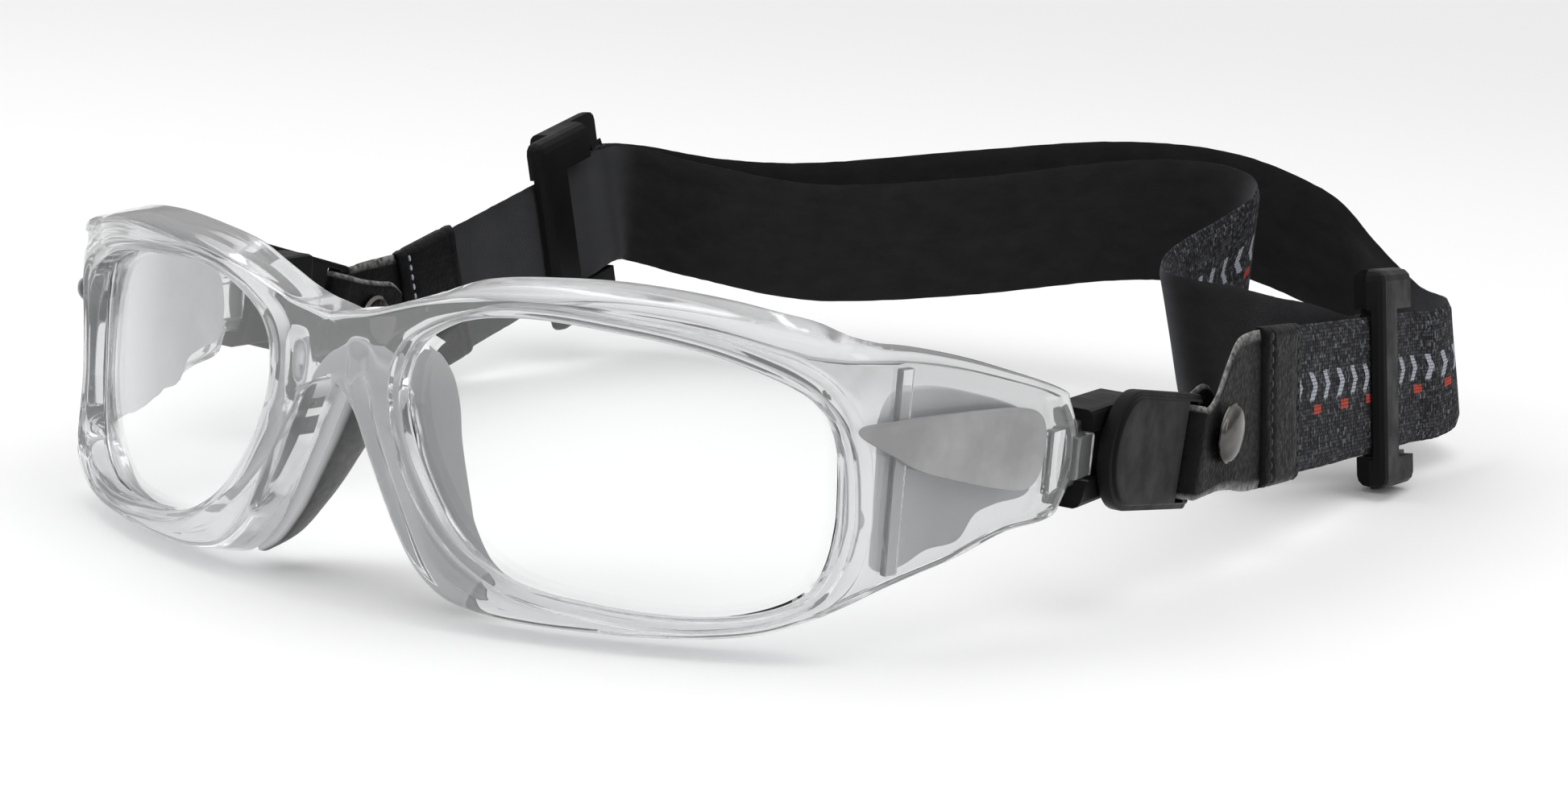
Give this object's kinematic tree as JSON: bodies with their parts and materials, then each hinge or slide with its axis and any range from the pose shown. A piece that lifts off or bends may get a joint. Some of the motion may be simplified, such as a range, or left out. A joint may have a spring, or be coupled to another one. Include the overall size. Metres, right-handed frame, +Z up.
{
  "type": "sports protective goggles",
  "caption": "Clear wrap-round sports goggles with quick-release swivel clips and a double elastic head strap adjusted by two sliders.",
  "frame": {"origin": "on the floor plane, straight below the foremost point of the bridge", "axes": "-Y is the way the lenses face, +X is the wearer's left, +Z is up; X = 0 is the middle of the frame"},
  "size_m": [0.1652, 0.2362, 0.0483],
  "materials": {
    "clear_polycarbonate": "clear, polished, slightly worn",
    "lens_polycarbonate": "clear, hard coated",
    "grey_silicone": "soft matte silicone",
    "pale_silicone": "soft matte silicone, slightly translucent",
    "satin_grey": "satin grey moulding",
    "black_nylon": "satin black moulding",
    "black_leather": "black grained leather",
    "black_elastic": "woven elastic webbing, velour inside",
    "gunmetal": "polished gunmetal"
  },
  "bodies": {
    "goggle_frame": {"front_frame": "clear_polycarbonate", "lens_left": "lens_polycarbonate", "lens_right": "lens_polycarbonate", "nose_pad": "grey_silicone", "temple_pad_left": "pale_silicone", "temple_pad_right": "pale_silicone", "trim_insert_left": "satin_grey", "trim_insert_right": "satin_grey"},
    "clip_left": {"strap_clip_left": "black_nylon", "swivel_pin_left": "black_nylon"},
    "link_left": {"swivel_link_left": "black_nylon", "strap_left": "black_elastic"},
    "tab_left": {"leather_tab_left": "black_leather", "rivet_cap_left": "gunmetal", "rivet_back_left": "gunmetal", "leather_binding_left": "black_leather"},
    "slider_left": {"strap_slider_left": "black_nylon", "strap_end_left": "black_elastic"},
    "clip_right": {"strap_clip_right": "black_nylon", "swivel_pin_right": "black_nylon"},
    "link_right": {"swivel_link_right": "black_nylon", "strap_right": "black_elastic"},
    "tab_right": {"leather_tab_right": "black_leather", "rivet_cap_right": "gunmetal", "rivet_back_right": "gunmetal", "leather_binding_right": "black_leather"},
    "slider_right": {"strap_slider_right": "black_nylon", "strap_end_right": "black_elastic"}
  },
  "joints": [
    {"name": "clip_release_left", "type": "slide", "parent": "goggle_frame", "child": "clip_left", "axis": [0, 1, 0], "range_m": [0, 0.012]},
    {"name": "link_swivel_left", "type": "hinge", "parent": "clip_left", "child": "link_left", "pos_m": [0.0739, 0.074, 0.0208], "axis": [1, 0, 0], "range_deg": [-16, 34]},
    {"name": "tab_swing_left", "type": "hinge", "parent": "link_left", "child": "tab_left", "pos_m": [0.0739, 0.09536, 0.01761], "axis": [0, 0.1478, 0.989], "range_deg": [-10, 10]},
    {"name": "slider_adjust_left", "type": "slide", "parent": "link_left", "child": "slider_left", "axis": [0, 0.9979, -0.0645], "range_m": [-0.016, 0.003]},
    {"name": "clip_release_right", "type": "slide", "parent": "goggle_frame", "child": "clip_right", "axis": [0, 1, 0], "range_m": [0, 0.012]},
    {"name": "link_swivel_right", "type": "hinge", "parent": "clip_right", "child": "link_right", "pos_m": [-0.0739, 0.074, 0.0208], "axis": [1, 0, 0], "range_deg": [-16, 34]},
    {"name": "tab_swing_right", "type": "hinge", "parent": "link_right", "child": "tab_right", "pos_m": [-0.0739, 0.09491, 0.01539], "axis": [0, 0.2504, 0.9681], "range_deg": [-10, 10]},
    {"name": "slider_adjust_right", "type": "slide", "parent": "link_right", "child": "slider_right", "axis": [0, 0.9703, 0.2419], "range_m": [-0.012, 0.003]}
  ],
  "couplings": [
    {"joint": "clip_release_right", "follows": "clip_release_left", "ratio": 1},
    {"joint": "link_swivel_right", "follows": "link_swivel_left", "ratio": 1}
  ]
}
